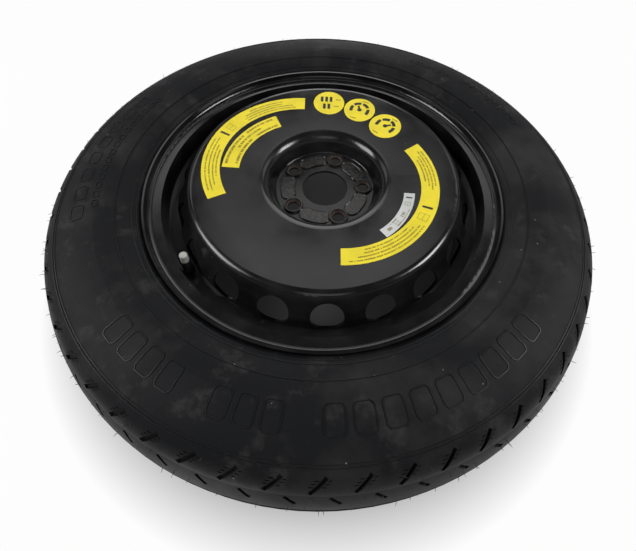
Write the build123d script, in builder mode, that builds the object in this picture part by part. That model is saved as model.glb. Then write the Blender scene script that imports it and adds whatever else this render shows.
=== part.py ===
"""Space saver spare wheel for a car: pressed steel disc and rim, narrow tyre, snap-in valve and labels.

Millimetres. The axle runs along Z and the outer face looks to +Z. The origin is the middle of the wheel,
on the axle and halfway across the rim.
"""

import os
from math import atan2, cos, radians, sin, tan

from build123d import *

os.makedirs("parts", exist_ok=True)

# Rim: an 18 inch by 4 inch drop centre rim rolled from sheet
seat_d = 436.6
rim_w = 101.6
rim_t = 2.5
flange_h = 17.3
lip_w = 13.0
roll_r = 9.5
seat_taper = 5.0
well_depth = 17.3
ledge_z = 25.2
ledge_tilt = 4.0

# Tyre, with two grooves round the tread and slanting slots round both shoulders
tyre_d = 719.0
tyre_w = 157.0
tread_w = 99.0
crown_drop = 12.5
belly_r = 283.5
shoulder_out = 0.73
shoulder_up = 0.68
tread_t = 12.0
wall_t = 8.0
liner_out = 0.42
liner_up = 0.68
bead_w = 19.8
bead_h = 8.2
flange_wrap = 58.0
fit = 0.05
groove_z = 17.0
groove_w = 7.0
groove_depth = 5.0
notches = 56
notch_l = 23.0
notch_w = 4.6
notch_depth = 3.6
notch_slant = 42.0
notch_place = 0.5
nick_l = 15.0
nick_w = 4.0
nick_turn = 2.5
nick_place = 0.84

# Disc
disc_t = 3.5
mount_z = 31.5
face_z = 73.8
face_rise = 6.5
bore_d = 63.4
pcd = 108.0
bolts = 5
bolt_hole_d = 15.0
bolt_az = 2.5
bolt_seat_d = 21.4
bolt_seat_depth = 5.2
recess_r = 70.5
recess_lean = 9.0
recess_foot = 4.0
recess_roll = 16.0
wall_in = 23.0
shoulder_roll = 7.0
skirt_z = 42.9
skirt_roll = 12.0
skirt_end_z = -14.0
vents = 20
vent_d = 37.6
vent_z = 47.6
vent_az = -88.3
pad_h = 1.6
pad_w = 20.0
pad_arc = 24.0
pad_pcd = 104.4
boss_h = 4.0
boss_d = 28.0
boss_top_d = 24.0
welds = 6
weld_arc = 24.0
weld_leg = 3.6

# Valve, standing on the rim's outer ledge
valve_az = -142.0
valve_gap = 8.8
valve_hole_d = 11.3
bulb_d = 12.2
bulb_h = 4.5
rubber_foot = 6.0
rubber_foot_d = 9.2
rubber_top = 21.0
rubber_top_d = 9.4
stem_top = 31.0
stem_d = 7.7
stem_neck_d = 6.0
stem_foot = 7.0
stem_bore_d = 2.5
stem_chamfer = 0.6
core_d = 4.6
core_neck_d = 3.6
core_bore_d = 2.6
core_l = 17.5
core_sink = 1.2
core_floor = 2.0
core_room = 3.6
ring_up = 5.5
ring_h = 1.6
ring_t = 0.9
pin_d = 1.1
pin_sink = 0.3
pin_seat_d = 3.4
pin_seat_h = 1.5
collar_down = 3.0
collar_h = 0.8
spring_wire = 0.25
spring_turns = 4
seal_t = 0.9
seal_d = 7.3
seal_hole_d = 1.8
cap_d = 9.4
cap_l = 12.2
cap_lift = 0.4
cap_chamfer = 1.2
cap_play = 0.06
cap_flutes = 8
flute_r = 0.5
slack = 0.03

# Labels: thin film on the cone of the disc. Centres and radii are shares of the face's radius, and the
# arcs have centres of their own, then an inner and outer radius, and the angles of both ends
film_t = 0.15
arc_labels = {
    "label_left_outer": ((-0.1823, 0.0991), 0.6268, 0.7601, 91.0, 212.0),
    "label_left_inner": ((-0.1425, 0.0456), 0.5185, 0.6467, 117.0, 182.5),
    "label_right": ((0.1185, -0.0638), 0.6068, 0.7390, -90.5, 31.6),
    "label_white": ((0.0934, -0.1048), 0.5014, 0.5801, -54.8, -8.5),
}
roundel_share = 0.1356
roundels = {
    "label_roundel_pressure": (0.0188, 0.8131),
    "label_roundel_low": (0.2883, 0.7333),
    "label_roundel_high": (0.5003, 0.5390),
}

# Worked out from the sizes above
seat_r = seat_d / 2
half_w = rim_w / 2
flange_r = seat_r + flange_h
lip_z = half_w + lip_w
well_r = seat_r - well_depth
skirt_r = well_r - rim_t
face_edge_r = skirt_r - wall_in
valve_r = skirt_r + valve_gap
roll_c = (flange_r - roll_r, half_w + roll_r)


def seat_radius(z):
    """Radius of the tapered bead seat, on its tyre side, at height z."""
    return seat_r - (half_w - abs(z)) * tan(radians(seat_taper))


def at(r, z, az):
    """The point at radius r, height z and azimuth az."""
    return (r * cos(radians(az)), r * sin(radians(az)), z)


def round_flange(turn):
    """The point of the tyre's skin that lies on the flange's roll, turn degrees up from its foot."""
    reach = roll_r + fit
    return (roll_c[0] + reach * sin(radians(turn)), roll_c[1] - reach * cos(radians(turn)))


def slot_plane(line, share, az, side):
    """Plane on the tyre's skin at share of line, with X along a slot that slants off the section."""
    foot = line @ share
    way = line % share
    along = Vector(*at(way.X, side * way.Y, az))
    around = Vector(*at(0, 1, az)).cross(Vector(*at(1, 0, az)))
    slant = radians(notch_slant)
    origin = at(foot.X, side * foot.Y, az)
    return Plane(origin, x_dir=along * cos(slant) - around * sin(slant), z_dir=around.cross(along))


# Tyre: one moulded carcass, drawn as half a section and mirrored, then grooved and slotted
tyre_r = tyre_d / 2
tyre_half = tyre_w / 2
tread_half = tread_w / 2
toe_z = half_w - bead_w
touch = round_flange(flange_wrap)
toe = (seat_radius(toe_z) + bead_h, toe_z)
edge = (tyre_r - crown_drop, tread_half)
belly = (belly_r, tyre_half)
liner = (belly_r, tyre_half - wall_t)
shoulder = (
    belly_r + shoulder_out * (edge[0] - belly_r),
    tread_half + shoulder_up * (tyre_half - tread_half),
)
crown_r = (tread_half**2 + crown_drop**2) / (2 * crown_drop)
crown_turn = atan2(tread_half, crown_r - crown_drop) / 2
with BuildPart() as tyre:
    with BuildSketch(Plane.XZ):
        with BuildLine():
            crown_mid = (tyre_r - crown_r + crown_r * cos(crown_turn), crown_r * sin(crown_turn))
            crown = ThreePointArc((tyre_r, 0), crown_mid, edge)
            upper = TangentArc(belly, shoulder, tangent=(1, 0))
            round_off = TangentArc(shoulder, edge, tangent=upper % 1)
            TangentArc(belly, touch, tangent=(-1, 0))
            ThreePointArc(touch, round_flange(flange_wrap / 2), round_flange(0))
            Polyline(
                round_flange(0),
                (seat_radius(half_w) + fit, half_w - fit),
                (seat_radius(toe_z) + fit, toe_z),
                toe,
                (toe[0] + liner_out * (liner[0] - toe[0]), toe[1] + liner_up * (liner[1] - toe[1])),
                liner,
                (edge[0] - tread_t, tread_half),
                (tyre_r - tread_t, tread_half / 2),
                (tyre_r - tread_t, 0),
            )
            mirror(about=Plane.XZ)
        make_face()
    revolve(axis=Axis.Z)
    with BuildSketch(Plane.XZ):
        with Locations((tyre_r, groove_z), (tyre_r, -groove_z)):
            Rectangle(2 * groove_depth, groove_w)
    revolve(axis=Axis.Z, mode=Mode.SUBTRACT)

    turns = [(k * 360 / notches, side) for side in (1, -1) for k in range(notches)]
    with Locations(*[slot_plane(round_off, notch_place, az, side) for az, side in turns]):
        Box(notch_l, notch_w, 2 * notch_depth, mode=Mode.SUBTRACT)
    with Locations(*[slot_plane(crown, nick_place, az + nick_turn, side) for az, side in turns]):
        Box(nick_l, nick_w, 2 * notch_depth, mode=Mode.SUBTRACT)
tyre.part.label = "tyre"
export_step(tyre.part, "parts/tyre.step")

# Rim: half the sheet's section, drawn round both of its sides and mirrored
ledge_r = seat_radius(ledge_z)
lean = radians(ledge_tilt)
ledge_drop = (ledge_r - well_r) * tan(lean)
ledge_top = ledge_z + rim_t - (ledge_r - rim_t - valve_r) * tan(lean)
ledge_t = (rim_t + rim_t * tan(lean)) * cos(lean)
inner_roll = roll_r - rim_t
diag = cos(radians(45))
valve_up = Vector(*at(-sin(lean), cos(lean), valve_az))
valve_foot = Vector(*at(valve_r, ledge_top, valve_az))
with BuildPart() as rim:
    with BuildSketch(Plane.XZ):
        with BuildLine():
            Polyline(
                (well_r, 0),
                (well_r, ledge_z - ledge_drop),
                (ledge_r, ledge_z),
                (seat_radius(half_w), half_w),
                (roll_c[0], half_w),
            )
            outer = (roll_c[0] + roll_r * diag, roll_c[1] - roll_r * diag)
            ThreePointArc((roll_c[0], half_w), outer, (flange_r, roll_c[1]))
            Polyline(
                (flange_r, roll_c[1]),
                (flange_r, lip_z),
                (flange_r - rim_t, lip_z),
                (flange_r - rim_t, roll_c[1]),
            )
            inner = (roll_c[0] + inner_roll * diag, roll_c[1] - inner_roll * diag)
            ThreePointArc((flange_r - rim_t, roll_c[1]), inner, (roll_c[0], half_w + rim_t))
            Polyline(
                (roll_c[0], half_w + rim_t),
                (seat_radius(half_w) - rim_t, half_w + rim_t),
                (ledge_r - rim_t, ledge_z + rim_t),
                (skirt_r, ledge_z + rim_t - ledge_drop),
                (skirt_r, 0),
            )
            mirror(about=Plane.XZ)
        make_face()
    revolve(axis=Axis.Z)
    with Locations(Plane(origin=valve_foot, z_dir=valve_up)):
        Cylinder(valve_hole_d / 2, 4 * rim_t, mode=Mode.SUBTRACT)
rim.part.label = "rim"
export_step(rim.part, "parts/rim.step")

# Disc: the pressing's mid line traced at the sheet's thickness, then seats, bolt holes and vents
disc_half = disc_t / 2
skirt_mid = skirt_r - slack - disc_half
rise = tan(radians(face_rise))
corner_z = face_z - disc_half / cos(radians(face_rise))
recess_top = recess_r + recess_lean
wall_lean = atan2(skirt_mid - face_edge_r, corner_z - skirt_z)
pad_z = mount_z + disc_t
upward = (Align.CENTER, Align.CENTER, Align.MIN)
downward = (Align.CENTER, Align.CENTER, Align.MAX)
with BuildPart() as disc:
    with BuildSketch(Plane.XZ):
        with BuildLine():
            FilletPolyline(
                (bore_d / 2, mount_z + disc_half),
                (recess_r, mount_z + disc_half),
                (recess_top, corner_z - (face_edge_r - recess_top) * rise),
                (face_edge_r, corner_z),
                (skirt_mid, skirt_z),
                (skirt_mid, skirt_end_z),
                radius=[recess_foot, recess_roll, shoulder_roll, skirt_roll],
            )
        trace(line_width=disc_t)
    revolve(axis=Axis.Z)
    with BuildSketch(Plane.XY.offset(pad_z - disc_half)):
        for k in range(bolts):
            start = bolt_az + (k + 0.5) * 360 / bolts - pad_arc / 2
            SlotArc(CenterArc((0, 0), pad_pcd / 2, start, pad_arc), pad_w)
    extrude(amount=disc_half + pad_h)
    with PolarLocations(pcd / 2, bolts, bolt_az):
        with Locations((0, 0, pad_z - disc_half)):
            Cone(boss_d / 2, boss_top_d / 2, disc_half + boss_h, align=upward)
        with Locations((0, 0, pad_z)):
            Cylinder(bolt_hole_d / 2, 6 * disc_t, mode=Mode.SUBTRACT)
        with Locations((0, 0, pad_z + boss_h)):
            Cone(bolt_hole_d / 2, bolt_seat_d / 2, bolt_seat_depth, align=downward, mode=Mode.SUBTRACT)
    vent_r = face_edge_r + (corner_z - vent_z) * tan(wall_lean)
    for k in range(vents):
        az = vent_az + k * 360 / vents
        out = at(cos(wall_lean), sin(wall_lean), az)
        with Locations(Plane(origin=at(vent_r, vent_z, az), z_dir=out)):
            Cylinder(vent_d / 2, 6 * disc_t, mode=Mode.SUBTRACT)
disc.part.label = "disc"
export_step(disc.part, "parts/disc.step")

# Weld runs between the disc's skirt and the well of the rim
weld_r = skirt_r - slack
weld_z = skirt_end_z - slack
with BuildPart() as weld_beads:
    for k in range(welds):
        az = k * 360 / welds
        with BuildSketch(Plane.XZ.rotated((0, 0, az))):
            with BuildLine():
                Polyline(
                    (weld_r, weld_z),
                    (weld_r - weld_leg, weld_z),
                    (weld_r, weld_z - weld_leg),
                    close=True,
                )
            make_face()
        revolve(axis=Axis.Z, revolution_arc=weld_arc)
weld_beads.part.label = "weld_beads"
export_step(weld_beads.part, "parts/weld_beads.step")

# Valve: every piece is turned about the valve's own axis, with height 0 on the ledge
valve_axis = Axis(valve_foot, valve_up)
across = Vector(*at(0, 1, 0)).cross(valve_up).normalized()
valve_section = Plane(valve_foot, x_dir=across, z_dir=across.cross(valve_up))


def turned(*points):
    """A closed outline of (radius, height) points on a plane through the valve's axis."""
    with BuildSketch(valve_section) as outline:
        with BuildLine():
            Polyline(*points, close=True)
        make_face()
    return outline.sketch


below = -ledge_t - slack
neck_r = stem_neck_d / 2
stem_r = stem_d / 2
core_r = core_d / 2
core_top = stem_top - core_sink
core_foot = core_top - core_l
well_floor = core_foot - core_room
pin_r = pin_d / 2
with BuildPart() as valve_rubber:
    revolve(
        turned(
            (neck_r + slack, below - rubber_foot),
            (rubber_foot_d / 2, below - rubber_foot),
            (bulb_d / 2, below),
            (valve_hole_d / 2 - slack, below),
            (valve_hole_d / 2 - slack, slack),
            (bulb_d / 2, slack),
            (bulb_d / 2, bulb_h),
            (rubber_top_d / 2, (bulb_h + rubber_top) / 2),
            (rubber_top_d / 2, rubber_top),
            (neck_r + slack, rubber_top),
        ),
        axis=valve_axis,
    )
valve_rubber.part.label = "valve_rubber"
export_step(valve_rubber.part, "parts/valve_rubber.step")

with BuildPart() as valve_stem:
    revolve(
        turned(
            (stem_bore_d / 2, below - stem_foot),
            (neck_r, below - stem_foot),
            (neck_r, rubber_top + slack),
            (stem_r, rubber_top + slack),
            (stem_r, stem_top - stem_chamfer),
            (stem_r - stem_chamfer, stem_top),
            (core_r + slack, stem_top),
            (core_r + slack, well_floor),
            (stem_bore_d / 2, well_floor),
        ),
        axis=valve_axis,
    )
valve_stem.part.label = "valve_stem"
export_step(valve_stem.part, "parts/valve_stem.step")

# Valve core: a hollow plug with a sealing ring, and a sprung pin that opens it when pressed
ring_z = core_foot + ring_up
ring_r = core_r - ring_t
bore_r = core_bore_d / 2
spring_seat = core_foot + core_floor
with BuildPart() as valve_core:
    revolve(
        turned(
            (pin_r + slack, core_foot),
            (core_neck_d / 2, core_foot),
            (core_neck_d / 2, ring_z),
            (ring_r, ring_z),
            (ring_r, ring_z + ring_h),
            (core_r, ring_z + ring_h),
            (core_r, core_top),
            (bore_r, core_top),
            (bore_r, spring_seat),
            (pin_r + slack, spring_seat),
        ),
        axis=valve_axis,
    )
valve_core.part.label = "valve_core"
export_step(valve_core.part, "parts/valve_core.step")

with BuildPart() as valve_core_ring:
    revolve(
        turned(
            (ring_r + slack, ring_z + slack),
            (core_r, ring_z + slack),
            (core_r, ring_z + ring_h - slack),
            (ring_r + slack, ring_z + ring_h - slack),
        ),
        axis=valve_axis,
    )
valve_core_ring.part.label = "valve_core_ring"
export_step(valve_core_ring.part, "parts/valve_core_ring.step")

collar_z = core_top - collar_down
pin_top = stem_top - pin_sink
with BuildPart() as valve_pin:
    revolve(
        turned(
            (0, core_foot - pin_seat_h),
            (pin_seat_d / 2, core_foot - pin_seat_h),
            (pin_seat_d / 2, core_foot - slack),
            (pin_r, core_foot - slack),
            (pin_r, collar_z),
            (bore_r - slack, collar_z),
            (bore_r - slack, collar_z + collar_h),
            (pin_r, collar_z + collar_h),
            (pin_r, pin_top),
            (0, pin_top),
        ),
        axis=valve_axis,
    )
valve_pin.part.label = "valve_pin"
export_step(valve_pin.part, "parts/valve_pin.step")

spring_foot = spring_seat + slack + spring_wire / 2
spring_l = collar_z - slack - spring_wire / 2 - spring_foot
with BuildPart() as valve_spring:
    coil = Helix(
        pitch=spring_l / spring_turns,
        height=spring_l,
        radius=(pin_r + bore_r) / 2,
        center=tuple(valve_foot + valve_up * spring_foot),
        direction=tuple(valve_up),
    )
    with BuildSketch(Plane(coil @ 0, z_dir=coil % 0)):
        Rectangle(spring_wire, spring_wire)
    sweep(path=coil, is_frenet=True)
valve_spring.part.label = "valve_spring"
export_step(valve_spring.part, "parts/valve_spring.step")

# Dust cap and its seal, screwed on the stem
cap_r = cap_d / 2
cap_foot = rubber_top + cap_lift
cap_top = cap_foot + cap_l
seal_z = stem_top + slack
roof_z = seal_z + seal_t + slack
with BuildPart() as valve_cap_seal:
    revolve(
        turned(
            (seal_hole_d / 2, seal_z),
            (seal_d / 2, seal_z),
            (seal_d / 2, seal_z + seal_t),
            (seal_hole_d / 2, seal_z + seal_t),
        ),
        axis=valve_axis,
    )
valve_cap_seal.part.label = "valve_cap_seal"
export_step(valve_cap_seal.part, "parts/valve_cap_seal.step")

with BuildPart() as valve_cap:
    revolve(
        turned(
            (stem_r + cap_play, cap_foot),
            (cap_r, cap_foot),
            (cap_r, cap_top - cap_chamfer),
            (cap_r - cap_chamfer, cap_top),
            (0, cap_top),
            (0, roof_z),
            (stem_r + cap_play, roof_z),
        ),
        axis=valve_axis,
    )
    with Locations(Plane(valve_foot + valve_up * (cap_foot + cap_chamfer), x_dir=across, z_dir=valve_up)):
        with PolarLocations(cap_r, cap_flutes):
            Cylinder(flute_r, cap_l, align=upward, mode=Mode.SUBTRACT)
valve_cap.part.label = "valve_cap"
export_step(valve_cap.part, "parts/valve_cap.step")


def film():
    """Section of a thin film that lies on the cone of the disc, from the recess to the shoulder."""
    near = recess_top + recess_roll / 2
    low = face_z - (face_edge_r - near) * rise + slack
    high = face_z + slack
    with BuildSketch(Plane.XZ) as outline:
        with BuildLine():
            Polyline(
                (near, low),
                (face_edge_r, high),
                (face_edge_r, high + film_t),
                (near, low + film_t),
                close=True,
            )
        make_face()
    return outline.sketch


for name, (centre, r_in, r_out, start, stop) in arc_labels.items():
    with BuildPart() as label:
        with BuildSketch(Plane.XY.offset(face_z / 2)):
            with BuildLine():
                middle = (centre[0] * face_edge_r, centre[1] * face_edge_r)
                inside = CenterArc(middle, r_in * face_edge_r, start, stop - start)
                outside = CenterArc(middle, r_out * face_edge_r, start, stop - start)
                Line(inside @ 0, outside @ 0)
                Line(inside @ 1, outside @ 1)
            make_face()
        extrude(amount=face_z)
        revolve(film(), axis=Axis.Z, mode=Mode.INTERSECT)
    label.part.label = name
    export_step(label.part, f"parts/{name}.step")

for name, centre in roundels.items():
    with BuildPart() as label:
        with BuildSketch(Plane.XY.offset(face_z / 2)):
            with Locations((centre[0] * face_edge_r, centre[1] * face_edge_r)):
                Circle(roundel_share * face_edge_r)
        extrude(amount=face_z)
        revolve(film(), axis=Axis.Z, mode=Mode.INTERSECT)
    label.part.label = name
    export_step(label.part, f"parts/{name}.step")
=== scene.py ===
"""Looks of a space saver spare wheel: tyre, gloss black steel, valve and labels, with a studio stage."""

import math
import random

import bpy
from bpy.props import FloatProperty, FloatVectorProperty, IntProperty, PointerProperty
from mathutils import Matrix, Vector
from mathutils.bvhtree import BVHTree


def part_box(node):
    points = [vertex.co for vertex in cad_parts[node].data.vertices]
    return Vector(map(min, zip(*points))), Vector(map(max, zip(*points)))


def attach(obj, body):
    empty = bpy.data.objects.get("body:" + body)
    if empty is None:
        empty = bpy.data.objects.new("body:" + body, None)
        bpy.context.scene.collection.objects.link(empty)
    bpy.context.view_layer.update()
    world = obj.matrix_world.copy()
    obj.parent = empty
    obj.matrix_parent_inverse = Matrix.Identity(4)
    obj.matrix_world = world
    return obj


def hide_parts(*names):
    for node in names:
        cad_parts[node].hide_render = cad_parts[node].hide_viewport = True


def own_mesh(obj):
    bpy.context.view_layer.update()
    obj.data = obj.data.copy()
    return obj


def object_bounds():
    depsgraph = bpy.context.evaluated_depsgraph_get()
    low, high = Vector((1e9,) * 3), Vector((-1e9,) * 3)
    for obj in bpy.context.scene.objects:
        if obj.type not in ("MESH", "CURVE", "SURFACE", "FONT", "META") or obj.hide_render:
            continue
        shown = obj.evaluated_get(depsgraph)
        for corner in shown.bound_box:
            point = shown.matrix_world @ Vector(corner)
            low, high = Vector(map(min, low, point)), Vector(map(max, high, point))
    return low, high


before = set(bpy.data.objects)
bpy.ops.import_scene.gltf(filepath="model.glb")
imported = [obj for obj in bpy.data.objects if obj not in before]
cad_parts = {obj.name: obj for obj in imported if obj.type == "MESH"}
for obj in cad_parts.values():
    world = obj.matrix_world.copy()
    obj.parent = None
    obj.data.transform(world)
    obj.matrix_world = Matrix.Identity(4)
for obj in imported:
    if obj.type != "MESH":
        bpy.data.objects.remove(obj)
CAD_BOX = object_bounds()

bl_info = {
    "name": "Space saver spare wheel",
    "version": (1, 0, 0),
    "blender": (4, 5, 0),
    "location": "3D View > Sidebar > Spare wheel",
    "description": "Dresses the solids of a space saver spare wheel and sets its studio stage",
    "category": "Object",
}

MM = 0.001
BODY = "wheel"
PHOTO_W, PHOTO_H = 636, 551
ROUNDELS = ("label_roundel_pressure", "label_roundel_low", "label_roundel_high")
BRASS_NODES = ("valve_stem", "valve_core", "valve_pin")
RUBBER_NODES = ("valve_rubber", "valve_core_ring", "valve_cap_seal")
# Arc labels in millimetres: centre, inner and outer radius
ARCS = {
    "label_left_outer": ((-32.0, 17.4), 110.0, 133.4),
    "label_left_inner": ((-25.0, 8.0), 91.0, 113.5),
    "label_right": ((20.8, -11.2), 106.5, 129.7),
    "label_white": ((16.4, -18.4), 88.0, 101.8),
}
LABELS = tuple(ARCS) + ROUNDELS
# Rows of print: label, share of the band's width, start and stop angle, line height and mean dash in mm
ROWS = (
    ("label_left_outer", 0.18, 98.0, 137.0, 1.8, 1.2),
    ("label_left_outer", 0.37, 100.0, 138.0, 1.8, 1.2),
    ("label_left_outer", 0.56, 108.0, 136.0, 1.8, 1.2),
    ("label_left_outer", 0.75, 107.0, 131.0, 1.8, 1.2),
    ("label_left_outer", 0.20, 172.0, 196.0, 1.8, 1.2),
    ("label_left_outer", 0.38, 168.0, 203.0, 1.8, 1.2),
    ("label_left_outer", 0.58, 162.0, 207.0, 1.8, 1.2),
    ("label_left_outer", 0.78, 164.0, 206.0, 1.8, 1.2),
    ("label_left_inner", 0.20, 120.0, 142.0, 3.2, 1.5),
    ("label_left_inner", 0.20, 148.0, 178.0, 3.2, 1.5),
    ("label_left_inner", 0.50, 134.0, 161.0, 3.2, 1.5),
    ("label_left_inner", 0.80, 121.0, 145.0, 3.2, 1.5),
    ("label_left_inner", 0.80, 149.0, 179.0, 3.2, 1.5),
    ("label_right", 0.20, -76.0, -44.0, 1.9, 1.2),
    ("label_right", 0.40, -77.0, -41.0, 1.9, 1.2),
    ("label_right", 0.60, -81.0, -38.0, 1.9, 1.2),
    ("label_right", 0.80, -86.0, -36.0, 1.9, 1.2),
    ("label_right", 0.26, -1.0, 19.0, 1.9, 1.2),
    ("label_right", 0.44, -5.0, 22.0, 1.9, 1.2),
    ("label_right", 0.62, -8.0, 26.0, 1.9, 1.2),
    ("label_right", 0.80, -5.0, 26.0, 1.9, 1.2),
    ("label_white", 0.50, -33.0, -28.0, 4.0, 1.4),
    ("label_white", 0.50, -50.0, -46.0, 4.4, 1.4),
    ("label_white", 0.80, -42.0, -24.0, 0.9, 2.0),
    ("label_white", 0.20, -45.0, -36.0, 0.9, 2.0),
)
# Bold bars across the band: label, angle, height in millimetres
MARKS = (("label_left_outer", 157.0, 14.0), ("label_right", -23.0, 13.0), ("label_white", -13.0, 8.0))
# Outlined page signs: label, angle, share of the width, half height and half length in millimetres
PAGES = (
    ("label_left_outer", 150.0, 0.5, 6.0, 5.0),
    ("label_right", -31.0, 0.5, 6.5, 5.5),
    ("label_white", -19.5, 0.5, 3.6, 3.0),
    ("label_white", -40.0, 0.5, 3.6, 3.2),
)
# Dial signs: roundel, angle of the pointer in degrees
DIALS = (("label_roundel_low", 118.0), ("label_roundel_high", 52.0))
# Bold blocks of print: roundel, sideways and outward place of the centre in millimetres
BLOCKS = (
    ("label_roundel_pressure", -11.0, 7.6),
    ("label_roundel_pressure", -4.0, 7.6),
    ("label_roundel_pressure", 3.0, 7.6),
    ("label_roundel_pressure", -7.0, -7.2),
    ("label_roundel_pressure", 0.0, -7.2),
)
# Small print on the roundels: roundel, sideways and outward place, half length in millimetres
UNITS = (
    ("label_roundel_pressure", 14.5, 7.0, 4.0),
    ("label_roundel_pressure", 11.5, -7.0, 4.0),
    ("label_roundel_low", 4.0, 18.5, 5.0),
    ("label_roundel_low", -4.0, -18.5, 5.0),
    ("label_roundel_high", 4.0, 18.5, 5.0),
    ("label_roundel_high", -4.0, -18.5, 5.0),
)
# Dashes: seed, spread of their length round the mean, share of narrow gaps, then the gaps in millimetres
PRINT_SEED = 3
DASH_SPREAD = (0.6, 1.5)
NARROW_SHARE = 0.84
NARROW_GAP, WIDE_GAP = (0.45, 0.8), 1.8
# Small print: dashes in a row, and how many pitches the first one starts before the middle
SMALL_DASHES, SMALL_START = 3, 1.4
# Small print: pitch and length of a dash as shares of the half length, and half height in millimetres
SMALL_PITCH, SMALL_LENGTH, SMALL_HALF_H = 0.66, 0.5, 0.9
# Half width of a bold bar as a share of its height
MARK_SHARE = 0.13
# Signs on the labels, in millimetres and degrees
PAGE_LINE = 0.45
DIAL_RADII = (10.6, 15.6)
DIAL_STARTS = (-28, 34, 96, 158)
DIAL_SPAN, DIAL_STEPS = 50, 12
HUB_RADII, HUB_STEPS = (0.1, 3.4), 24
POINTER_RADII = (3.0, 6.0, 9.0)
POINTER_HALF_W = 1.6
BLOCK_HALF_W, BLOCK_HALF_H = 2.1, 5.4
# Gaps that keep thin layers just over the solids
SKIN_GAP = 0.06 * MM
PRINT_GAP = 0.07 * MM
# Radius of the middle of the tyre's section, and a reach from there that ends outside the tyre
SECTION_R = 0.30
SECTION_REACH = 0.3
# Share of a raised line's height that its foot is sunk into the skin
RIDGE_SUNK = 0.3
# Moulded rings on the wall: points round each, then radius in millimetres and share of a line's width
RING_POINTS = 360
WALL_RINGS = ((241.5, 1.0), (246.0, 0.8), (262.0, 0.7), (326.0, 0.8), (328.5, 0.8))
# Outlined blocks on the wall: where their corners are cut, and points along each side
BLOCK_CUT = 0.72
BLOCK_POINTS = 4
# Rows of blocks: start angle, count, radius and half height in mm, pitch angle, half a block's share of it
WALL_BLOCKS = (
    (-132.0, 4, 293.5, 12.5, 4.75, 0.36),
    (-107.4, 3, 293.5, 12.5, 4.7, 0.36),
    (-87.4, 9, 293.5, 12.5, 5.22, 0.36),
    (156.0, 8, 302.0, 7.0, 5.7, 0.34),
    (153.5, 15, 283.0, 3.0, 2.9, 0.34),
    (20.0, 10, 300.0, 4.5, 2.4, 0.34),
    (46.0, 8, 292.0, 3.5, 2.0, 0.34),
)
# Sipes, drawn as dark strips of painted shade where their slits would be: colour of the painted shade,
# middle of their rise in degrees, then the radii that turn their lengths into angles
SIPE_SHADE = (0.001, 0.001, 0.001)
SIPE_RISE = 56.2
SHOULDER_R = 73.0 * MM
SIPE_ARM = 0.075
TREAD_R = 0.34
# Sipes: steps along a slot, and ends on both sides of it, in millimetres
SIPE_STEPS = (-8.0, -4.2, -0.4)
SIPE_ENDS = ((-8.5, -3.3), (3.3, 6.5))
# Moulding hairs: seed, stray from an even pitch, and how often one is on the inner side and on the wall
HAIR_SEED = 7
HAIR_STRAY = 0.3
INNER_EVERY, WALL_EVERY = 3, 6
# Moulding hairs: rise over the tread and over the wall in degrees, sideways lean, length in millimetres
HAIR_TREAD, HAIR_WALL = (8.0, 62.0), (62.0, 84.0)
HAIR_LEAN = 0.45
HAIR_LENGTH = (1.6, 5.2)
# A hair's sides, its bend, and its rings as shares of the length and of the thickness
HAIR_SIDES = 5
HAIR_BEND = 0.3
HAIR_RINGS = ((-0.2, 1.0), (0.5, 0.8), (1.0, 0.35))
# Distances from the axle at which wear on the tread and dirt in the hub are full and gone
WEAR_FULL, WEAR_NONE = 0.352, 0.336
DIRT_FULL, DIRT_NONE = 0.058, 0.068
# Heights between which the dirt grows, and its share below them
DIRT_LOW, DIRT_HIGH, DIRT_LEAST = 35.4 * MM, 36.2 * MM, 0.3
# Bolt seats and hub pads: count of each, angles in degrees, sizes in millimetres
BOLTS = 5
BOLT_R, BOLT_AZ = 54.0, 2.5
RUST_RADII = (7.7, 9.4, 11.2)
RUST_POINTS = 48
PAD_R, PAD_AZ = 52.2, 38.5
PAD_HALF_TURN, PAD_HALF_W = 12.0, 9.5
PAD_STEPS, PAD_END_STEPS = 8, 12
BEAD_W, BEAD_H = 1.5, 0.45
# Floor: half size, gap under the tyre, grey and roughness
FLOOR_HALF, FLOOR_GAP = 6.0, 0.0005
FLOOR_GREY, FLOOR_ROUGH = 0.10, 0.9
# Near the wheel the floor's white glow fades to its dark grey, a painted shadow in which the lamps' real
# shadow shows
# Floor's painted shadow: where it starts to fade and where it has gone, then the faint painted glow in it
# and the glow on the open floor
PAINTED_SHADOW_NEAR, PAINTED_SHADOW_FAR = 0.32, 0.43
PAINTED_GLOW_UNDER_WHEEL, FLOOR_GLOW = 0.006, 0.98
# Backdrop: heights between which its light falls, and its light low down
BACKDROP_LOW, BACKDROP_HIGH, BACKDROP_LIGHT = 0.10, 0.30, 0.45
# Nearest distance that the camera shows
CLIP_START = 0.01
# Lamps: name, place, aim, width, height, and the stage's property that holds the power
LAMPS = (
    ("front_softbox", (0.0, -1.5, 1.3), (0.0, 0.0, 0.0), 0.9, 0.9, "key"),
    ("back_softbox", (0.0, 0.8, 1.28), (0.0, -0.1, 0.0), 0.7, 0.36, "back_light"),
    ("rear_softbox", (0.0, 2.0, 0.95), (0.0, 0.2, 0.0), 1.2, 1.2, "rear"),
    ("right_back_softbox", (0.95, 0.95, 1.05), (0.1, 0.0, 0.0), 0.7, 0.5, "flank"),
    ("left_back_softbox", (-0.95, 0.95, 1.05), (-0.1, 0.0, 0.0), 0.7, 0.5, "flank"),
    ("right_softbox", (1.28, -0.17, 1.05), (0.05, 0.0, 0.0), 0.6, 0.6, "side"),
    ("left_softbox", (-1.28, -0.17, 1.05), (-0.05, 0.0, 0.0), 0.8, 0.8, "side"),
)


def length_property(name, text, value_mm):
    """A length property with its default in millimetres."""
    return FloatProperty(name=name, description=text, default=value_mm * MM, unit="LENGTH")


def angle_property(name, text, degrees):
    """An angle property with its default in degrees."""
    return FloatProperty(name=name, description=text, default=math.radians(degrees), subtype="ANGLE")


def number_property(name, text, value):
    """A plain number property."""
    return FloatProperty(name=name, description=text, default=value)


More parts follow.
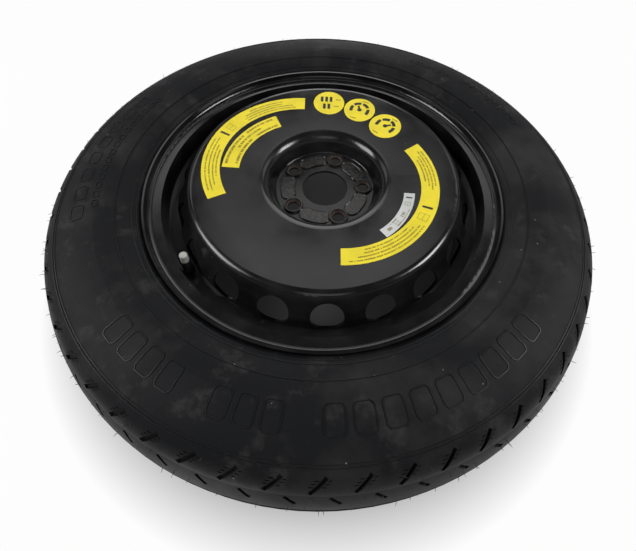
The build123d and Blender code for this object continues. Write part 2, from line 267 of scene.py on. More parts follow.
def colour_property(name, text, value):
    """A colour property."""
    return FloatVectorProperty(
        name=name, description=text, subtype="COLOR", size=3, default=value, min=0, max=1
    )


class TyreSizes(bpy.types.PropertyGroup):
    """Sizes of the tyre's mouldings."""

    ridge: length_property("Ridge", "Width of a moulded line", 1.3)
    relief: length_property("Relief", "Height of a moulded line", 0.8)
    slots: IntProperty(name="Slots", description="Shoulder slots on each side", default=56)
    slant: number_property("Slant", "Slant of the slots in degrees", 42.0)
    sipe: length_property("Sipe", "Width of a fine sipe", 0.8)
    whiskers: IntProperty(name="Whiskers", description="Moulding hairs left on the rubber", default=420)
    whisker_d: length_property("Hair", "Thickness of a hair", 0.7)


class StageSizes(bpy.types.PropertyGroup):
    """Camera and light of the stage."""

    focal_px: number_property("Focal length", "Focal length in photo pixels", 368.3)
    back: number_property("Camera back", "Camera's distance from the axle", 0.3337)
    height: number_property("Camera height", "Camera's height over the rim's middle", 0.4377)
    pan: angle_property("Pan", "Camera pan", 2.32)
    tilt: angle_property("Tilt", "Camera tilt", 54.38)
    roll: angle_property("Roll", "Camera roll", 3.22)
    centre_x: number_property("Centre X", "Column of the lens centre", 333.0)
    centre_y: number_property("Centre Y", "Row of the lens centre", 213.9)
    fill: number_property("Fill", "Light of the upper surroundings", 0.07)
    key: number_property("Key", "Power of the front light", 2.5)
    back_light: number_property("Back light", "Power of the light behind the wheel", 1.0)
    rear: number_property("Rear", "Power of the low light far behind the wheel", 10.0)
    flank: number_property("Flank", "Power of each light beside the back light", 1.4)
    side: number_property("Side", "Power of each side light", 18.0)


class WheelColours(bpy.types.PropertyGroup):
    """Base colours of the finishes."""

    rubber: colour_property("Rubber", "Tyre rubber", (0.0082, 0.0085, 0.0096))
    dust: colour_property("Dust", "Dust on the tyre", (0.034, 0.033, 0.032))
    speck: colour_property("Speck", "Pale specks of dust", (0.16, 0.16, 0.15))
    soil: colour_property("Soil", "Dirt in the hub", (0.040, 0.034, 0.029))
    paint: colour_property("Paint", "Gloss black paint", (0.0045, 0.0045, 0.0048))
    rust: colour_property("Rust", "Rust on the bolt seats", (0.050, 0.030, 0.021))
    yellow: colour_property("Yellow", "Yellow film", (0.80, 0.66, 0.032))
    white: colour_property("White", "White film", (0.55, 0.56, 0.55))
    ink: colour_property("Ink", "Black print", (0.010, 0.010, 0.010))
    fine_ink: colour_property("Fine ink", "Small print", (0.17, 0.13, 0.011))
    brass: colour_property("Brass", "Valve brass", (0.62, 0.46, 0.20))
    cap: colour_property("Cap", "Pale plastic cap", (0.42, 0.42, 0.39))
    wire: colour_property("Wire", "Spring wire", (0.50, 0.50, 0.52))


def new_material(name):
    """A new material, its node tree and its shader."""
    material = bpy.data.materials.new(name)
    material.use_nodes = True
    tree = material.node_tree
    return material, tree, tree.nodes["Principled BSDF"]


def node(tree, kind, **values):
    """A shader node with the given settings."""
    made = tree.nodes.new(kind)
    for key, value in values.items():
        setattr(made, key, value)
    return made


def noise_at(tree, scale, detail=4.0, rough=0.55):
    """Noise over the object's own place."""
    place = node(tree, "ShaderNodeTexCoord")
    made = node(tree, "ShaderNodeTexNoise")
    made.inputs["Scale"].default_value = scale
    made.inputs["Detail"].default_value = detail
    made.inputs["Roughness"].default_value = rough
    tree.links.new(place.outputs["Object"], made.inputs["Vector"])
    return made.outputs["Fac"]


def ramp(tree, source, stops):
    """A colour ramp on source: stops are (place, grey or colour)."""
    made = node(tree, "ShaderNodeValToRGB")
    elements = made.color_ramp.elements
    while len(elements) < len(stops):
        elements.new(0.5)
    for element, (place, value) in zip(elements, stops):
        element.position = place
        grey = isinstance(value, (int, float))
        element.color = (value, value, value, 1.0) if grey else (*value, 1.0)
    tree.links.new(source, made.inputs["Fac"])
    return made.outputs["Color"]


def bump(tree, shader, source, strength, distance):
    """Bump from source on the shader's normal."""
    made = node(tree, "ShaderNodeBump")
    made.inputs["Strength"].default_value = strength
    made.inputs["Distance"].default_value = distance
    tree.links.new(source, made.inputs["Height"])
    tree.links.new(made.outputs["Normal"], shader.inputs["Normal"])


def specks(tree, scale, size):
    """Sparse round specks, as a share from 0 to 1."""
    place = node(tree, "ShaderNodeTexCoord")
    cells = node(tree, "ShaderNodeTexVoronoi")
    cells.inputs["Scale"].default_value = scale
    tree.links.new(place.outputs["Object"], cells.inputs["Vector"])
    return ramp(tree, cells.outputs["Distance"], [(0.7 * size, 1.0), (size, 0.0)])


def spread(tree, source, start, stop, least=0.0):
    """Share that goes from least at the value start to 1 at stop."""
    made = node(tree, "ShaderNodeMapRange")
    made.inputs["From Min"].default_value = start
    made.inputs["From Max"].default_value = stop
    made.inputs["To Min"].default_value = least
    tree.links.new(source, made.inputs["Value"])
    return made.outputs["Result"]


def round_axle(tree, full, none):
    """Share of 1 at the distance full from the axle and 0 at the distance none."""
    place = node(tree, "ShaderNodeTexCoord")
    flat = node(tree, "ShaderNodeVectorMath", operation="MULTIPLY")
    flat.inputs[1].default_value = (1.0, 1.0, 0.0)
    far = node(tree, "ShaderNodeVectorMath", operation="LENGTH")
    tree.links.new(place.outputs["Object"], flat.inputs[0])
    tree.links.new(flat.outputs["Vector"], far.inputs[0])
    return spread(tree, far.outputs["Value"], none, full)


def above(tree, low, high, least):
    """Share that rises from least at the height low to 1 at high."""
    place = node(tree, "ShaderNodeTexCoord")
    split = node(tree, "ShaderNodeSeparateXYZ")
    tree.links.new(place.outputs["Object"], split.inputs["Vector"])
    return spread(tree, split.outputs["Z"], low, high, least)


def blend_in(tree, share, base, over):
    """The colour base with share of the colour over laid on it."""
    made = node(tree, "ShaderNodeMix", data_type="RGBA")
    tree.links.new(share, made.inputs[0])
    tree.links.new(base, made.inputs[6])
    made.inputs[7].default_value = (*over, 1.0)
    return made.outputs[2]


def times(tree, a, b):
    """Product of two values."""
    made = node(tree, "ShaderNodeMath", operation="MULTIPLY")
    tree.links.new(a, made.inputs[0])
    tree.links.new(b, made.inputs[1])
    return made.outputs["Value"]


def tyre_rubber(colours):
    """Satin black rubber with dusty smudges."""
    material, tree, shader = new_material("tyre_rubber")
    clouds = noise_at(tree, 7.0, detail=6.0, rough=0.62)
    tint = ramp(tree, clouds, [(0.50, tuple(colours.rubber)), (0.78, tuple(colours.dust))])
    scuffs = ramp(tree, noise_at(tree, 26.0, detail=8.0, rough=0.72), [(0.54, 0.0), (0.66, 0.7)])
    tint = blend_in(tree, scuffs, tint, colours.dust)
    worn = ramp(tree, noise_at(tree, 60.0, detail=5.0, rough=0.65), [(0.40, 0.0), (0.70, 0.5)])
    worn = times(tree, worn, round_axle(tree, WEAR_FULL, WEAR_NONE))
    tint = blend_in(tree, worn, tint, colours.soil)
    tint = blend_in(tree, specks(tree, 50.0, 0.045), tint, colours.speck)
    tree.links.new(tint, shader.inputs["Base Color"])
    rough = ramp(tree, clouds, [(0.35, 0.48), (0.75, 0.72)])
    tree.links.new(rough, shader.inputs["Roughness"])
    shader.inputs["Specular IOR Level"].default_value = 0.09
    bump(tree, shader, noise_at(tree, 700.0, detail=3.0), strength=0.10, distance=0.001)
    return material


def black_paint(colours):
    """Gloss black paint with a faint orange peel, light dust and a dirty hub."""
    material, tree, shader = new_material("black_paint")
    grain = noise_at(tree, 22.0, detail=5.0)
    dusty = tuple(3.0 * part for part in colours.paint)
    tint = ramp(tree, grain, [(0.4, tuple(colours.paint)), (0.8, dusty)])
    tint = blend_in(tree, specks(tree, 60.0, 0.03), tint, colours.speck)
    soil = ramp(tree, noise_at(tree, 240.0, detail=6.0, rough=0.7), [(0.42, 0.0), (0.66, 0.9)])
    soil = times(tree, soil, above(tree, DIRT_LOW, DIRT_HIGH, DIRT_LEAST))
    soil = times(tree, soil, round_axle(tree, DIRT_FULL, DIRT_NONE))
    tint = blend_in(tree, soil, tint, colours.soil)
    tree.links.new(tint, shader.inputs["Base Color"])
    tree.links.new(ramp(tree, grain, [(0.35, 0.15), (0.75, 0.28)]), shader.inputs["Roughness"])
    bump(tree, shader, noise_at(tree, 260.0, detail=2.0), strength=0.03, distance=0.001)
    return material


def rusty_steel(colours):
    """Brown rust on bare steel."""
    material, tree, shader = new_material("rusty_steel")
    grain = noise_at(tree, 320.0, detail=5.0)
    dark = tuple(0.3 * part for part in colours.rust)
    tint = ramp(tree, grain, [(0.38, dark), (0.62, tuple(colours.rust))])
    tree.links.new(tint, shader.inputs["Base Color"])
    shader.inputs["Roughness"].default_value = 0.7
    bump(tree, shader, grain, strength=0.4, distance=0.0005)
    return material


def film(name, value):
    """Printed film with a soft sheen and light soiling."""
    material, tree, shader = new_material(name)
    soil = noise_at(tree, 40.0, detail=6.0, rough=0.6)
    dull = tuple(0.86 * part for part in value)
    tree.links.new(ramp(tree, soil, [(0.3, dull), (0.6, tuple(value))]), shader.inputs["Base Color"])
    shader.inputs["Roughness"].default_value = 0.5
    shader.inputs["Specular IOR Level"].default_value = 0.3
    bump(tree, shader, noise_at(tree, 150.0), strength=0.02, distance=0.001)
    return material


def plain(name, value, rough, metal=0.0, gloss=0.5):
    """A finish of one colour with a faint grain."""
    material, tree, shader = new_material(name)
    grain = noise_at(tree, 400.0, detail=4.0)
    dull = tuple(0.75 * part for part in value)
    tree.links.new(ramp(tree, grain, [(0.3, dull), (0.65, tuple(value))]), shader.inputs["Base Color"])
    shader.inputs["Roughness"].default_value = rough
    shader.inputs["Metallic"].default_value = metal
    shader.inputs["Specular IOR Level"].default_value = gloss
    bump(tree, shader, grain, strength=0.05, distance=0.0005)
    return material


def new_piece(name, verts, faces, material, smooth=True):
    """A mesh piece that rides on the wheel."""
    mesh = bpy.data.meshes.new(name)
    mesh.from_pydata(verts, [], faces)
    mesh.validate()
    piece = bpy.data.objects.new(name, mesh)
    bpy.context.scene.collection.objects.link(piece)
    mesh.materials.append(material)
    if smooth:
        mesh.shade_smooth()
    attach(piece, BODY)
    return piece


def paint_node(name, material):
    """Gives a solid from the frame a finish."""
    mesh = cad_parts[name].data
    mesh.materials.clear()
    mesh.materials.append(material)


def skin_of(name):
    """Search tree over a solid's faces, in the shared frame."""
    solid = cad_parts[name]
    place = solid.matrix_world
    verts = [place @ vert.co for vert in solid.data.vertices]
    return BVHTree.FromPolygons(verts, [tuple(face.vertices) for face in solid.data.polygons])


def drop(skin, x, y):
    """Where a ray down along the axle meets the skin at x and y, and the normal there."""
    place, normal = skin.ray_cast(Vector((x, y, 1)), Vector((0, 0, -1)))[:2]
    if place is None:
        raise RuntimeError(f"nothing lies at {x:.4f}, {y:.4f}")
    return place, normal


def polar(r, azimuth):
    """X and Y at radius r and azimuth in radians."""
    return r * math.cos(azimuth), r * math.sin(azimuth)


def on_tyre(skin, azimuth, rise):
    """Point just over the tyre's skin, and the normal there, seen from the middle of its section."""
    out = Vector((*polar(math.cos(rise), azimuth), math.sin(rise)))
    heart = Vector((*polar(SECTION_R, azimuth), 0.0))
    place, normal = skin.ray_cast(heart + out * SECTION_REACH, -out)[:2]
    return place + normal * SKIN_GAP, normal


class Strips:
    """Collects thin strips that lie on a skin."""

    def __init__(self):
        self.verts = []
        self.faces = []

    def quad_row(self, left, right):
        """A flat strip between two rows of points."""
        start = len(self.verts)
        for a, b in zip(left, right):
            self.verts += [tuple(a), tuple(b)]
        for k in range(len(left) - 1):
            low = start + 2 * k
            self.faces.append((low, low + 1, low + 3, low + 2))

    def ridge(self, path, normals, width, height):
        """A raised line with sloping sides along a closed path."""
        start, count = len(self.verts), len(path)
        for k, (point, normal) in enumerate(zip(path, normals)):
            ahead = path[(k + 1) % count] - path[k - 1]
            side = ahead.cross(normal).normalized() * (width / 2)
            sunk, up = normal * (-RIDGE_SUNK * height), normal * height
            for across, lift in ((-1.0, sunk), (-0.5, up), (0.5, up), (1.0, sunk)):
                self.verts.append(tuple(point + side * across + lift))
        for k in range(count):
            low, high = start + 4 * k, start + 4 * ((k + 1) % count)
            for a in range(3):
                self.faces.append((low + a, low + a + 1, high + a + 1, high + a))


class SPARE_OT_tyre(bpy.types.Operator):
    """Finishes the tyre's rubber"""

    bl_idname = "spare.tyre"
    bl_label = "Tyre"

    def execute(self, context):
        paint_node("tyre", tyre_rubber(context.scene.spare_colours))
        return {"FINISHED"}


class SPARE_OT_mouldings(bpy.types.Operator):
    """Raises the moulded rings and outlined blocks on the tyre's outer wall"""

    bl_idname = "spare.mouldings"
    bl_label = "Wall mouldings"

    def execute(self, context):
        sizes = context.scene.spare_tyre
        skin = skin_of("tyre")
        strips = Strips()
        for r_mm, share in WALL_RINGS:
            self.ring(strips, skin, r_mm * MM, share * sizes.ridge, sizes.relief)
        for start, count, r_mm, tall, pitch, share in WALL_BLOCKS:
            half_turn = math.radians(share * pitch)
            for k in range(count):
                centre = math.radians(start + k * pitch)
                self.block(strips, skin, r_mm * MM, centre, tall * MM, half_turn, sizes)
        material = plain("moulding_rubber", context.scene.spare_colours.rubber, rough=0.42, gloss=0.25)
        new_piece("tyre_mouldings", strips.verts, strips.faces, material, smooth=False)
        return {"FINISHED"}

    def ring(self, strips, skin, r, width, height):
        """A thin ring right round the wall."""
        found = [drop(skin, *polar(r, math.tau * k / RING_POINTS)) for k in range(RING_POINTS)]
        strips.ridge([place for place, _ in found], [normal for _, normal in found], width, height)

    def block(self, strips, skin, r, azimuth, half_tall, half_turn, sizes):
        """The raised outline of a plain block with cut corners."""
        cut = BLOCK_CUT
        corners = [(-1, -cut), (-cut, -1), (cut, -1), (1, -cut), (1, cut), (cut, 1), (-cut, 1), (-1, cut)]
        path, normals = [], []
        for k, (a, b) in enumerate(corners):
            c, d = corners[(k + 1) % len(corners)]
            for step in range(BLOCK_POINTS):
                u = a + (c - a) * step / BLOCK_POINTS
                v = b + (d - b) * step / BLOCK_POINTS
                place, normal = drop(skin, *polar(r + v * half_tall, azimuth + u * half_turn))
                path.append(place)
                normals.append(normal)
        strips.ridge(path, normals, sizes.ridge, sizes.relief)


class SPARE_OT_sipes(bpy.types.Operator):
    """Draws the fine sipes beside the slots of both shoulders as thin dark strips of painted shade"""

    bl_idname = "spare.sipes"
    bl_label = "Sipes"

    def execute(self, context):
        sizes = context.scene.spare_tyre
        skin = skin_of("tyre")
        strips = Strips()
        slant = math.radians(sizes.slant)
        for k in range(sizes.slots):
            for side in (1, -1):
                for step in SIPE_STEPS:
                    azimuth = math.tau * k / sizes.slots - step * MM * math.sin(slant) / TREAD_R
                    rise = math.radians(SIPE_RISE) - step * MM * math.cos(slant) / SHOULDER_R
                    for ends in SIPE_ENDS:
                        low, high = [end * MM / TREAD_R for end in ends]
                        self.sipe(strips, skin, azimuth, rise, side, low, high, sizes.sipe)
        # Painted shade: flat black strips lie on the rubber where the sipes' slits would be dark
        material = plain("sipe_black", SIPE_SHADE, rough=0.9, gloss=0.0)
        new_piece("tyre_sipes", strips.verts, strips.faces, material, smooth=False)
        return {"FINISHED"}

    def sipe(self, strips, skin, azimuth, rise, side, low, high, width):
        """One thin dark line of painted shade along the tread, standing for a sipe's slit, from low to
        high in radians round the axle.
        """
        half = width / (2 * SIPE_ARM)
        turns = (low, (low + high) / 2, high)
        rows = []
        for tip in (rise - half, rise + half):
            rows.append([on_tyre(skin, azimuth + turn, side * tip)[0] for turn in turns])
        strips.quad_row(*rows)


class SPARE_OT_whiskers(bpy.types.Operator):
    """Sets the thin moulding hairs round the tyre's shoulders"""

    bl_idname = "spare.whiskers"
    bl_label = "Moulding hairs"

    def execute(self, context):
        sizes = context.scene.spare_tyre
        skin = skin_of("tyre")
        draw = random.Random(HAIR_SEED)
        verts, faces = [], []
        for k in range(sizes.whiskers):
            azimuth = math.tau * (k + draw.uniform(-HAIR_STRAY, HAIR_STRAY)) / sizes.whiskers
            side = 1 if k % INNER_EVERY else -1
            reach = HAIR_TREAD if k % WALL_EVERY else HAIR_WALL
            rise = math.radians(draw.uniform(*reach)) * side
            root, normal = on_tyre(skin, azimuth, rise)
            self.hair(verts, faces, root, normal, draw, sizes.whisker_d / 2)
        material = plain("hair_rubber", context.scene.spare_colours.rubber, rough=0.6)
        new_piece("tyre_whiskers", verts, faces, material)
        return {"FINISHED"}

    def hair(self, verts, faces, root, normal, draw, thick):
        """One short bent hair."""
        lean = Vector([draw.uniform(-HAIR_LEAN, HAIR_LEAN) for _ in range(3)])
        out = (normal + lean).normalized()
        across = out.orthogonal().normalized()
        other = out.cross(across)
        length = draw.uniform(*HAIR_LENGTH) * MM
        start, sides = len(verts), HAIR_SIDES
        for far, scale in HAIR_RINGS:
            spot = root + out * (far * length) + across * (HAIR_BEND * length * far * far)
            for a in range(sides):
                turn = math.tau * a / sides
                spoke = across * math.cos(turn) + other * math.sin(turn)
                verts.append(tuple(spot + spoke * thick * scale))
        for low in (start, start + sides):
            for a in range(sides):
                b = (a + 1) % sides
                faces.append((low + a, low + b, low + sides + b, low + sides + a))
        faces.append(tuple(start + 2 * sides + a for a in range(sides)))


class SPARE_OT_steel(bpy.types.Operator):
    """Paints the rim, the disc and its welds gloss black"""

    bl_idname = "spare.steel"
    bl_label = "Steel"

    def execute(self, context):
        paint = black_paint(context.scene.spare_colours)
        for name in ("rim", "disc", "weld_beads"):
            paint_node(name, paint)
        return {"FINISHED"}


class SPARE_OT_rust(bpy.types.Operator):
    """Lays rust on the five conical bolt seats"""

    bl_idname = "spare.rust"
    bl_label = "Seat rust"

    def execute(self, context):
        skin = skin_of("disc")
        strips = Strips()
        lift = Vector((0, 0, SKIN_GAP))
        for k in range(BOLTS):
            cx, cy = polar(BOLT_R * MM, math.radians(BOLT_AZ + 360 * k / BOLTS))
            rows = []
            for r_mm in RUST_RADII:
                row = []
                for a in range(RUST_POINTS + 1):
                    x, y = polar(r_mm * MM, math.tau * a / RUST_POINTS)
                    row.append(drop(skin, cx + x, cy + y)[0] + lift)
                rows.append(row)
            for inner, outer in zip(rows, rows[1:]):
                strips.quad_row(inner, outer)
        material = rusty_steel(context.scene.spare_colours)
        new_piece("seat_rust", strips.verts, strips.faces, material)
        return {"FINISHED"}


class SPARE_OT_beads(bpy.types.Operator):
    """Rounds the edges of the five hub pads with a glossy bead of paint"""

    bl_idname = "spare.beads"
    bl_label = "Pad edges"

    def execute(self, context):
        skin = skin_of("disc")
        strips = Strips()
        for k in range(BOLTS):
            azimuth = math.radians(PAD_AZ + 360 * k / BOLTS)
            path = self.outline(azimuth, PAD_R * MM, math.radians(PAD_HALF_TURN), PAD_HALF_W * MM)
            found = [drop(skin, x, y)[0] for x, y in path]
            strips.ridge(found, [Vector((0, 0, 1))] * len(found), BEAD_W * MM, BEAD_H * MM)
        material = plain("bead_paint", context.scene.spare_colours.paint, rough=0.12)
        new_piece("hub_pad_edges", strips.verts, strips.faces, material)
        return {"FINISHED"}

    def outline(self, azimuth, r, half_turn, half_w):
        """Points round an arc shaped pad with round ends."""
        shares = [k / PAD_STEPS - 1 for k in range(2 * PAD_STEPS + 1)]
        points = [polar(r + half_w, azimuth + half_turn * share) for share in shares]
        for side in (1, -1):
            end = azimuth + side * half_turn
            cx, cy = polar(r, end)
            for k in range(1, PAD_END_STEPS):
                x, y = polar(half_w, end + math.pi * k / PAD_END_STEPS + (0 if side > 0 else math.pi))
                points.append((cx + x, cy + y))
            if side > 0:
                points += [polar(r - half_w, azimuth - half_turn * share) for share in shares]
        return points


class SPARE_OT_valve(bpy.types.Operator):
    """Finishes the valve's brass, rubber and cap"""

    bl_idname = "spare.valve"
    bl_label = "Valve"

    def execute(self, context):
        colours = context.scene.spare_colours
        brass = plain("valve_brass", colours.brass, rough=0.32, metal=1.0)
        rubber = plain("valve_rubber_black", colours.rubber, rough=0.7)
        for name in BRASS_NODES:
            paint_node(name, brass)
        for name in RUBBER_NODES:
            paint_node(name, rubber)
        paint_node("valve_cap", plain("cap_plastic", colours.cap, rough=0.5))
        return {"FINISHED"}


class SPARE_OT_spring(bpy.types.Operator):
    """Gives the valve its spring, a finished copy of the solid's spring"""

    bl_idname = "spare.spring"
    bl_label = "Valve spring"

    def execute(self, context):
        wire = plain("spring_wire", context.scene.spare_colours.wire, rough=0.3, metal=1.0)
        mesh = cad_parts["valve_spring"].data.copy()
        mesh.materials.clear()
        mesh.materials.append(wire)
        piece = bpy.data.objects.new("valve_spring_coil", mesh)
        context.scene.collection.objects.link(piece)
        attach(piece, BODY)
        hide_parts("valve_spring")
        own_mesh(piece)
        return {"FINISHED"}


class SPARE_OT_labels(bpy.types.Operator):
    """Colours the label films"""

    bl_idname = "spare.labels"
    bl_label = "Labels"

    def execute(self, context):
        colours = context.scene.spare_colours
        yellow = film("yellow_film", colours.yellow)
        white = film("white_film", colours.white)
        for name in LABELS:
            paint_node(name, white if name == "label_white" else yellow)
        return {"FINISHED"}


class SPARE_OT_print(bpy.types.Operator):
    """Prints rows of dashes, bars, pages, blocks and dial signs on the labels"""

    bl_idname = "spare.print"
    bl_label = "Label print"

    def execute(self, context):
        colours = context.scene.spare_colours
        self.skins = {name: skin_of(name) for name in LABELS}
        fine, bold = Strips(), Strips()
        draw = random.Random(PRINT_SEED)
        for row in ROWS:
            self.dashes(fine, draw, *row)
        for mark in MARKS:
            self.mark(bold, *mark)
        for page in PAGES:
            self.page(fine, *page)
        for unit in UNITS:
            self.unit(fine, *unit)
        for dial in DIALS:
            self.dial(bold, *dial)
        for block in BLOCKS:
            self.block(bold, *block)
        fine_ink = plain("fine_ink", colours.fine_ink, rough=0.5)
        new_piece("label_fine_print", fine.verts, fine.faces, fine_ink, smooth=False)
        ink = plain("black_ink", colours.ink, rough=0.45)
        new_piece("label_bold_print", bold.verts, bold.faces, ink, smooth=False)
        return {"FINISHED"}

    def on_label(self, name, x, y):
        """The point just over a label's film at x and y in metres."""
        return drop(self.skins[name], x, y)[0] + Vector((0, 0, PRINT_GAP))

    def on_band(self, name, r_mm, angle):
        """The point over an arc label at r_mm and angle in degrees round the label's own centre."""
        (cx, cy), _, _ = ARCS[name]
        x, y = polar(r_mm, math.radians(angle))
        return self.on_label(name, (cx + x) * MM, (cy + y) * MM)

    def band(self, strips, name, low, high, angles):
        """A strip along an arc label, from the radius low to high in millimetres."""
        strips.quad_row(*[[self.on_band(name, r, angle) for angle in angles] for r in (low, high)])

    def radius(self, name, share):
        """The radius in millimetres at a share of an arc label's width."""
        _, r_in, r_out = ARCS[name]
        return r_in + share * (r_out - r_in)

    def dashes(self, strips, draw, name, share, start, stop, tall, mean):
        """A row of dashes along an arc label."""
        r = self.radius(name, share)
        angle = start
        while angle < stop:
            end = min(angle + math.degrees(draw.uniform(*DASH_SPREAD) * mean / r), stop)
            steps = [angle + (end - angle) * k / 2 for k in range(3)]
            self.band(strips, name, r - tall / 2, r + tall / 2, steps)
            gap = draw.uniform(*NARROW_GAP) if draw.random() < NARROW_SHARE else WIDE_GAP
            angle = end + math.degrees(gap / r)

    def mark(self, strips, name, angle, tall):
        """A bold bar set across the band."""
        r = self.radius(name, 0.5)
        turn = math.degrees(MARK_SHARE * tall / r)
        self.band(strips, name, r - tall / 2, r + tall / 2, (angle - turn, angle, angle + turn))

    def page(self, strips, name, angle, share, tall, wide):
        """The outline of a page, with a line across its middle."""
        r = self.radius(name, share)
        turn = math.degrees(wide / r)
        line = math.degrees(PAGE_LINE / r)
        for low in (-tall, 0.0, tall - PAGE_LINE):
            self.band(strips, name, r + low, r + low + PAGE_LINE, (angle - turn, angle, angle + turn))
        for side in (angle - turn, angle + (turn - line)):
            rows = []
            for edge in (side, side + line):
                rows.append([self.on_band(name, r + far, edge) for far in (-tall, 0, tall)])
            strips.quad_row(*rows)

    def frame_of(self, name):
        """Centre, sideways and outward directions of a roundel."""
        low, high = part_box(name)
        centre = Vector(((low[0] + high[0]) / 2, (low[1] + high[1]) / 2))
        out = centre.normalized()
        return centre, Vector((out.y, -out.x)), out

    def on_roundel(self, name, x, y):
        """The point over a roundel at x sideways and y outward in millimetres."""
        centre, across, out = self.frame_of(name)
        return self.on_label(name, *(centre + across * (x * MM) + out * (y * MM)))

    def unit(self, strips, name, sideways, outward, half):
        """A short row of small print on a roundel."""
        for k in range(SMALL_DASHES):
            left = sideways + (k - SMALL_START) * SMALL_PITCH * half
            ends = (left, left + SMALL_LENGTH * half)
            rows = []
            for y in (outward - SMALL_HALF_H, outward + SMALL_HALF_H):
                rows.append([self.on_roundel(name, x, y) for x in ends])
            strips.quad_row(*rows)

    def arc(self, strips, name, radii, turns):
        """A strip round the middle of a roundel, between two radii in millimetres."""
        strips.quad_row(*[[self.on_roundel(name, *polar(r, turn)) for turn in turns] for r in radii])

    def dial(self, strips, name, angle):
        """A plain dial sign: an open ring of arcs, a pointer and a hub."""
        for first in DIAL_STARTS:
            turns = [math.radians(first + DIAL_SPAN * k / DIAL_STEPS) for k in range(DIAL_STEPS + 1)]
            self.arc(strips, name, DIAL_RADII, turns)
        lean = math.radians(angle)
        rows = []
        for half in (POINTER_HALF_W, -POINTER_HALF_W):
            rows.append([self.on_roundel(name, *polar(r, lean + half / r)) for r in POINTER_RADII])
        strips.quad_row(*rows)
        self.arc(strips, name, HUB_RADII, [math.tau * k / HUB_STEPS for k in range(HUB_STEPS + 1)])

    def block(self, strips, name, x, y):
        """A bold upright block."""
        rows = []
        for edge in (x - BLOCK_HALF_W, x + BLOCK_HALF_W):
            rows.append([self.on_roundel(name, edge, end) for end in (y - BLOCK_HALF_H, y + BLOCK_HALF_H)])
        strips.quad_row(*rows)


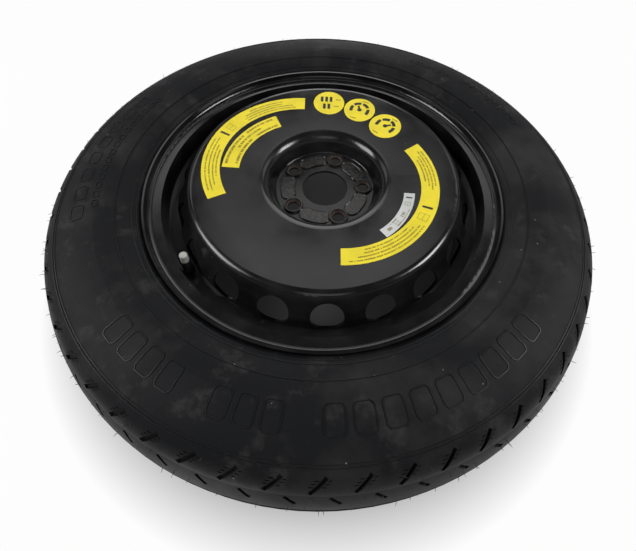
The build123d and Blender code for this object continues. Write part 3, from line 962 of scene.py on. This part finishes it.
class SPARE_OT_stage(bpy.types.Operator):
    """Sets the white floor, the soft lights and the camera"""

    bl_idname = "spare.stage"
    bl_label = "Stage"

    def execute(self, context):
        scene = context.scene
        stage = scene.spare_stage
        scene.view_settings.view_transform = "Standard"
        self.floor()
        self.world(scene, stage)
        for name, place, aim, wide, tall, power in LAMPS:
            self.lamp(name, place, aim, wide, tall, getattr(stage, power))
        self.camera(scene, stage)
        return {"FINISHED"}

    def floor(self):
        """Floor that shows white further out, with a painted shadow round the wheel where its white glow
        fades to its dark grey and the lamps' real shadow shows, and a faint painted glow under the wheel.
        """
        half, low = FLOOR_HALF, CAD_BOX[0][2] - FLOOR_GAP
        mesh = bpy.data.meshes.new("floor")
        corners = [(-half, -half, low), (half, -half, low), (half, half, low), (-half, half, low)]
        mesh.from_pydata(corners, [], [(0, 1, 2, 3)])
        floor = bpy.data.objects.new("floor", mesh)
        bpy.context.scene.collection.objects.link(floor)
        material, tree, shader = new_material("floor_white")
        shader.inputs["Base Color"].default_value = (FLOOR_GREY, FLOOR_GREY, FLOOR_GREY, 1.0)
        shader.inputs["Roughness"].default_value = FLOOR_ROUGH
        place = node(tree, "ShaderNodeTexCoord")
        far = node(tree, "ShaderNodeVectorMath", operation="LENGTH")
        tree.links.new(place.outputs["Object"], far.inputs[0])
        # Painted shadow: the white glow fades near the wheel, down to a faint painted glow under it
        painted_shadow_fade = spread(tree, far.outputs["Value"], PAINTED_SHADOW_NEAR, PAINTED_SHADOW_FAR, PAINTED_GLOW_UNDER_WHEEL)
        share = times(tree, painted_shadow_fade, self.seen(tree, FLOOR_GLOW))
        glow = node(tree, "ShaderNodeEmission")
        mix = node(tree, "ShaderNodeMixShader")
        tree.links.new(share, mix.inputs["Fac"])
        tree.links.new(shader.outputs["BSDF"], mix.inputs[1])
        tree.links.new(glow.outputs["Emission"], mix.inputs[2])
        tree.links.new(mix.outputs["Shader"], tree.nodes["Material Output"].inputs["Surface"])
        mesh.materials.append(material)

    def seen(self, tree, share):
        """share for rays from the camera, reflections and glass, and 0 for the rest."""
        path = node(tree, "ShaderNodeLightPath")
        total = path.outputs["Is Camera Ray"]
        for name in ("Is Glossy Ray", "Is Transmission Ray"):
            add = node(tree, "ShaderNodeMath", operation="MAXIMUM")
            tree.links.new(total, add.inputs[0])
            tree.links.new(path.outputs[name], add.inputs[1])
            total = add.outputs["Value"]
        scale = node(tree, "ShaderNodeMath", operation="MULTIPLY")
        scale.inputs[1].default_value = share
        tree.links.new(total, scale.inputs[0])
        return scale.outputs["Value"]

    def world(self, scene, stage):
        """Surroundings that are pale low down, as a studio's curved backdrop is, and dim overhead."""
        world = bpy.data.worlds.new("studio")
        scene.world = world
        world.use_nodes = True
        tree = world.node_tree
        place = node(tree, "ShaderNodeTexCoord")
        split = node(tree, "ShaderNodeSeparateXYZ")
        tree.links.new(place.outputs["Generated"], split.inputs["Vector"])
        stops = [(BACKDROP_LOW, BACKDROP_LIGHT), (BACKDROP_HIGH, stage.fill)]
        shade = ramp(tree, split.outputs["Z"], stops)
        tree.links.new(shade, tree.nodes["Background"].inputs["Color"])

    def lamp(self, name, place, aim, wide, tall, power):
        """A soft light of the given width and height."""
        data = bpy.data.lights.new(name, "AREA")
        data.shape = "RECTANGLE"
        data.size = wide
        data.size_y = tall
        data.energy = power
        lamp = bpy.data.objects.new(name, data)
        lamp.location = place
        lamp.rotation_euler = (Vector(aim) - Vector(place)).to_track_quat("-Z", "Y").to_euler()
        bpy.context.scene.collection.objects.link(lamp)

    def camera(self, scene, stage):
        """Camera at the photograph's place, with the same lens and frame."""
        data = bpy.data.cameras.new("camera")
        data.sensor_fit = "HORIZONTAL"
        data.lens = stage.focal_px * data.sensor_width / PHOTO_W
        data.shift_x = (PHOTO_W / 2 - stage.centre_x) / PHOTO_W
        data.shift_y = (stage.centre_y - PHOTO_H / 2) / PHOTO_W
        data.clip_start = CLIP_START
        level, fall = math.cos(stage.tilt), math.sin(stage.tilt)
        ahead = Vector((math.sin(stage.pan) * level, math.cos(stage.pan) * level, -fall))
        right = ahead.cross(Vector((0, 0, 1))).normalized()
        up = right.cross(ahead)
        turned = Matrix((right, up, -ahead)).transposed() @ Matrix.Rotation(stage.roll, 3, "Z")
        camera = bpy.data.objects.new("camera", data)
        camera.matrix_world = Matrix.Translation((0, -stage.back, stage.height)) @ turned.to_4x4()
        scene.collection.objects.link(camera)
        scene.camera = camera


class SPARE_PT_panel(bpy.types.Panel):
    """Lists the steps that dress the wheel"""

    bl_idname = "SPARE_PT_panel"
    bl_label = "Spare wheel"
    bl_space_type = "VIEW_3D"
    bl_region_type = "UI"
    bl_category = "Spare wheel"

    def draw(self, context):
        for step in STEPS:
            self.layout.operator(step.bl_idname)


STEPS = (
    SPARE_OT_tyre,
    SPARE_OT_mouldings,
    SPARE_OT_sipes,
    SPARE_OT_whiskers,
    SPARE_OT_steel,
    SPARE_OT_rust,
    SPARE_OT_beads,
    SPARE_OT_valve,
    SPARE_OT_spring,
    SPARE_OT_labels,
    SPARE_OT_print,
    SPARE_OT_stage,
)
GROUPS = {"spare_tyre": TyreSizes, "spare_stage": StageSizes, "spare_colours": WheelColours}


def register():
    for name, group in GROUPS.items():
        bpy.utils.register_class(group)
        setattr(bpy.types.Scene, name, PointerProperty(type=group))
    for step in STEPS:
        bpy.utils.register_class(step)
    bpy.utils.register_class(SPARE_PT_panel)


def unregister():
    bpy.utils.unregister_class(SPARE_PT_panel)
    for step in reversed(STEPS):
        bpy.utils.unregister_class(step)
    for name, group in GROUPS.items():
        delattr(bpy.types.Scene, name)
        bpy.utils.unregister_class(group)


def main():
    register()
    for step in STEPS:
        group, name = step.bl_idname.split(".")
        getattr(getattr(bpy.ops, group), name)()


if __name__ == "__main__":
    main()
